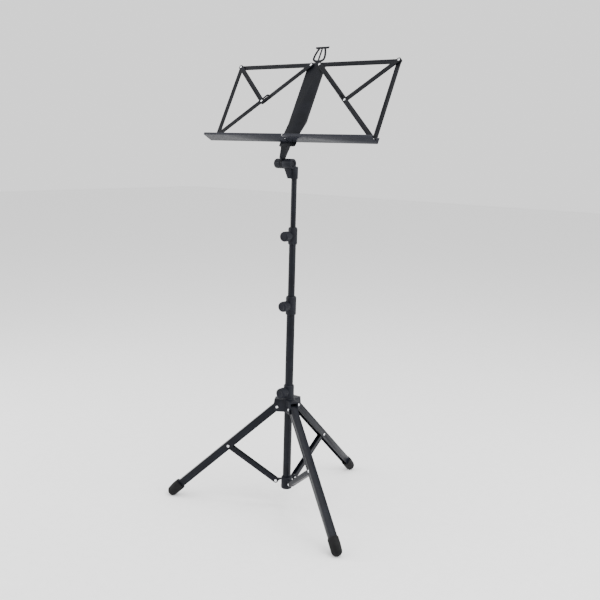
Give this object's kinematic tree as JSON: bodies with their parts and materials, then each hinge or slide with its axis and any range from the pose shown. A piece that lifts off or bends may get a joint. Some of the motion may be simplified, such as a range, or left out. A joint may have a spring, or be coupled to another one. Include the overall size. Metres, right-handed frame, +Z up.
{
  "type": "music stand",
  "caption": "Folding sheet-music stand: a tripod of channel legs, telescoping tubes with screw clamps, and a tilting, folding desk of flat bars.",
  "frame": {"origin": "under the middle of the stand's box, on the floor", "axes": "+Z up, -Y towards the reader, +X to the reader's right"},
  "size_m": [0.5516, 0.4812, 1.1621],
  "materials": {
    "black_paint": "satin black powder coat",
    "desk_paint": "satin black powder coat, very dark",
    "ledge_paint": "dark grey-blue powder coat",
    "charcoal_plastic": "matte moulded plastic",
    "rubber_foot": "matte black rubber",
    "zinc_fastener": "bright zinc-plated steel"
  },
  "bodies": {
    "base": {"outer_tube": "black_paint", "lower_clamp": "charcoal_plastic", "base_hub": "charcoal_plastic"},
    "hub": {"tripod_hub": "charcoal_plastic", "leg_pin_front_left": "zinc_fastener", "leg_pin_front_right": "zinc_fastener", "leg_pin_rear": "zinc_fastener"},
    "hub_knob": {"hub_knob": "charcoal_plastic", "hub_screw": "zinc_fastener"},
    "lower_knob": {"lower_clamp_knob": "charcoal_plastic", "lower_clamp_screw": "zinc_fastener"},
    "upper_knob": {"upper_clamp_knob": "charcoal_plastic", "upper_clamp_screw": "zinc_fastener"},
    "tilt_knob": {"tilt_knob": "charcoal_plastic"},
    "middle_glide": {"middle_glide": "charcoal_plastic"},
    "middle": {"middle_tube": "black_paint", "upper_clamp": "charcoal_plastic"},
    "top_glide": {"top_glide": "charcoal_plastic"},
    "head": {"top_tube": "black_paint", "tilt_head": "charcoal_plastic", "tilt_bolt": "black_paint"},
    "desk": {"back_panel": "desk_paint", "lyre": "desk_paint", "tilt_arm": "desk_paint", "top_pivot_rivet_left": "zinc_fastener", "ledge_pivot_rivet_left": "zinc_fastener", "top_pivot_rivet_right": "zinc_fastener", "ledge_pivot_rivet_right": "zinc_fastener"},
    "leg_front_left": {"leg_front_left": "black_paint", "foot_front_left": "rubber_foot", "stay_pin_front_left": "zinc_fastener"},
    "stay_front_left": {"stay_front_left": "black_paint"},
    "leg_front_right": {"leg_front_right": "black_paint", "foot_front_right": "rubber_foot", "stay_pin_front_right": "zinc_fastener"},
    "stay_front_right": {"stay_front_right": "black_paint"},
    "leg_rear": {"leg_rear": "black_paint", "foot_rear": "rubber_foot", "stay_pin_rear": "zinc_fastener"},
    "stay_rear": {"stay_rear": "black_paint"},
    "ledge_left": {"ledge_left": "ledge_paint", "ledge_end_rivet_left": "zinc_fastener"},
    "top_bar_left": {"top_bar_left": "desk_paint"},
    "side_bar_left": {"side_bar_left": "desk_paint", "corner_rivet_left": "zinc_fastener"},
    "upper_link_left": {"upper_link_left": "desk_paint"},
    "lower_link_left": {"lower_link_left": "desk_paint", "middle_rivet_left": "zinc_fastener"},
    "strut_left": {"strut_left": "desk_paint"},
    "ledge_right": {"ledge_right": "ledge_paint", "ledge_end_rivet_right": "zinc_fastener"},
    "top_bar_right": {"top_bar_right": "desk_paint"},
    "side_bar_right": {"side_bar_right": "desk_paint", "corner_rivet_right": "zinc_fastener"},
    "upper_link_right": {"upper_link_right": "desk_paint"},
    "lower_link_right": {"lower_link_right": "desk_paint", "middle_rivet_right": "zinc_fastener"},
    "strut_right": {"strut_right": "desk_paint"}
  },
  "joints": [
    {"name": "hub_slide", "type": "slide", "parent": "base", "child": "hub", "axis": [0, 0, 1], "range_m": [0, 0.12229]},
    {"name": "middle_slide", "type": "slide", "parent": "base", "child": "middle_glide", "axis": [0, 0, 1], "range_m": [-0.129, 0.19]},
    {"name": "middle_swivel", "type": "hinge", "parent": "middle_glide", "child": "middle", "pos_m": [0, -0.07576, 0.5], "axis": [0, 0, 1], "continuous": true},
    {"name": "top_slide", "type": "slide", "parent": "middle", "child": "top_glide", "axis": [0, 0, 1], "range_m": [-0.117, 0.18]},
    {"name": "top_swivel", "type": "hinge", "parent": "top_glide", "child": "head", "pos_m": [0, -0.07576, 0.7], "axis": [0, 0, 1], "continuous": true},
    {"name": "tilt", "type": "hinge", "parent": "head", "child": "desk", "pos_m": [0, -0.08776, 0.877], "axis": [1, 0, 0], "range_deg": [-60, 27]},
    {"name": "hub_knob_turn", "type": "hinge", "parent": "hub", "child": "hub_knob", "pos_m": [0, -0.10276, 0.305], "axis": [0, -1, 0], "range_deg": [0, 540]},
    {"name": "lower_knob_turn", "type": "hinge", "parent": "base", "child": "lower_knob", "pos_m": [0, -0.10276, 0.528], "axis": [0, -1, 0], "range_deg": [0, 540]},
    {"name": "upper_knob_turn", "type": "hinge", "parent": "middle", "child": "upper_knob", "pos_m": [0, -0.10276, 0.702], "axis": [0, -1, 0], "range_deg": [0, 540]},
    {"name": "tilt_knob_turn", "type": "hinge", "parent": "head", "child": "tilt_knob", "pos_m": [-0.037, -0.08776, 0.877], "axis": [-1, 0, 0], "range_deg": [0, 540]},
    {"name": "leg_fold_front_left", "type": "hinge", "parent": "hub", "child": "leg_front_left", "pos_m": [-0.02425, -0.08976, 0.264], "axis": [0.5, -0.866, 0], "range_deg": [0, 47.62]},
    {"name": "stay_fold_front_left", "type": "hinge", "parent": "leg_front_left", "child": "stay_front_left", "pos_m": [-0.13355, -0.15287, 0.14862], "axis": [0.5, -0.866, 0], "range_deg": [-103.31, 0]},
    {"name": "leg_fold_front_right", "type": "hinge", "parent": "hub", "child": "leg_front_right", "pos_m": [0.02425, -0.08976, 0.264], "axis": [0.5, 0.866, 0], "range_deg": [0, 47.62]},
    {"name": "stay_fold_front_right", "type": "hinge", "parent": "leg_front_right", "child": "stay_front_right", "pos_m": [0.13355, -0.15287, 0.14862], "axis": [0.5, 0.866, 0], "range_deg": [-103.31, 0]},
    {"name": "leg_fold_rear", "type": "hinge", "parent": "hub", "child": "leg_rear", "pos_m": [0, -0.04776, 0.264], "axis": [-1, 0, 0], "range_deg": [0, 47.62]},
    {"name": "stay_fold_rear", "type": "hinge", "parent": "leg_rear", "child": "stay_rear", "pos_m": [0, 0.07845, 0.14862], "axis": [-1, 0, 0], "range_deg": [-103.31, 0]},
    {"name": "ledge_fold_left", "type": "hinge", "parent": "desk", "child": "ledge_left", "pos_m": [-0.0126, -0.09953, 0.93668], "axis": [0, 0.887, -0.4617], "range_deg": [0, 90]},
    {"name": "top_bar_fold_left", "type": "hinge", "parent": "desk", "child": "top_bar_left", "pos_m": [-0.0126, -0.00133, 1.11667], "axis": [0, 0.887, -0.4617], "range_deg": [0, 90]},
    {"name": "side_bar_fold_left", "type": "hinge", "parent": "ledge_left", "child": "side_bar_left", "pos_m": [-0.236, -0.09953, 0.93668], "axis": [0, 0.887, -0.4617], "range_deg": [-90, 0]},
    {"name": "upper_link_fold_left", "type": "hinge", "parent": "desk", "child": "upper_link_left", "pos_m": [-0.0126, -0.00133, 1.11667], "axis": [0, 0.887, -0.4617], "range_deg": [-47.51, 0]},
    {"name": "lower_link_fold_left", "type": "hinge", "parent": "ledge_left", "child": "lower_link_left", "pos_m": [-0.236, -0.09953, 0.93668], "axis": [0, 0.887, -0.4617], "range_deg": [0, 42.59]},
    {"name": "strut_fold_left", "type": "hinge", "parent": "side_bar_left", "child": "strut_left", "pos_m": [-0.236, -0.00133, 1.11667], "axis": [0, 0.887, -0.4617], "range_deg": [0, 47.51]},
    {"name": "ledge_fold_right", "type": "hinge", "parent": "desk", "child": "ledge_right", "pos_m": [0.0126, -0.09953, 0.93668], "axis": [0, -0.887, 0.4617], "range_deg": [0, 90]},
    {"name": "top_bar_fold_right", "type": "hinge", "parent": "desk", "child": "top_bar_right", "pos_m": [0.0126, -0.00133, 1.11667], "axis": [0, -0.887, 0.4617], "range_deg": [0, 90]},
    {"name": "side_bar_fold_right", "type": "hinge", "parent": "ledge_right", "child": "side_bar_right", "pos_m": [0.236, -0.09953, 0.93668], "axis": [0, -0.887, 0.4617], "range_deg": [-90, 0]},
    {"name": "upper_link_fold_right", "type": "hinge", "parent": "desk", "child": "upper_link_right", "pos_m": [0.0126, -0.00133, 1.11667], "axis": [0, -0.887, 0.4617], "range_deg": [-47.51, 0]},
    {"name": "lower_link_fold_right", "type": "hinge", "parent": "ledge_right", "child": "lower_link_right", "pos_m": [0.236, -0.09953, 0.93668], "axis": [0, -0.887, 0.4617], "range_deg": [0, 42.59]},
    {"name": "strut_fold_right", "type": "hinge", "parent": "side_bar_right", "child": "strut_right", "pos_m": [0.236, -0.00133, 1.11667], "axis": [0, -0.887, 0.4617], "range_deg": [0, 47.51]}
  ],
  "couplings": [
    {"joint": "leg_fold_front_left", "follows": "hub_slide", "rad_per_m": 6.7888},
    {"joint": "stay_fold_front_left", "follows": "hub_slide", "rad_per_m": -14.737},
    {"joint": "leg_fold_front_right", "follows": "hub_slide", "rad_per_m": 6.7888},
    {"joint": "stay_fold_front_right", "follows": "hub_slide", "rad_per_m": -14.737},
    {"joint": "leg_fold_rear", "follows": "hub_slide", "rad_per_m": 6.7888},
    {"joint": "stay_fold_rear", "follows": "hub_slide", "rad_per_m": -14.737},
    {"joint": "top_bar_fold_left", "follows": "ledge_fold_left", "ratio": 1},
    {"joint": "side_bar_fold_left", "follows": "ledge_fold_left", "ratio": -1},
    {"joint": "upper_link_fold_left", "follows": "ledge_fold_left", "ratio": -0.52733},
    {"joint": "lower_link_fold_left", "follows": "ledge_fold_left", "ratio": 0.47267},
    {"joint": "strut_fold_left", "follows": "ledge_fold_left", "ratio": 0.52733},
    {"joint": "top_bar_fold_right", "follows": "ledge_fold_right", "ratio": 1},
    {"joint": "side_bar_fold_right", "follows": "ledge_fold_right", "ratio": -1},
    {"joint": "upper_link_fold_right", "follows": "ledge_fold_right", "ratio": -0.52733},
    {"joint": "lower_link_fold_right", "follows": "ledge_fold_right", "ratio": 0.47267},
    {"joint": "strut_fold_right", "follows": "ledge_fold_right", "ratio": 0.52733}
  ]
}
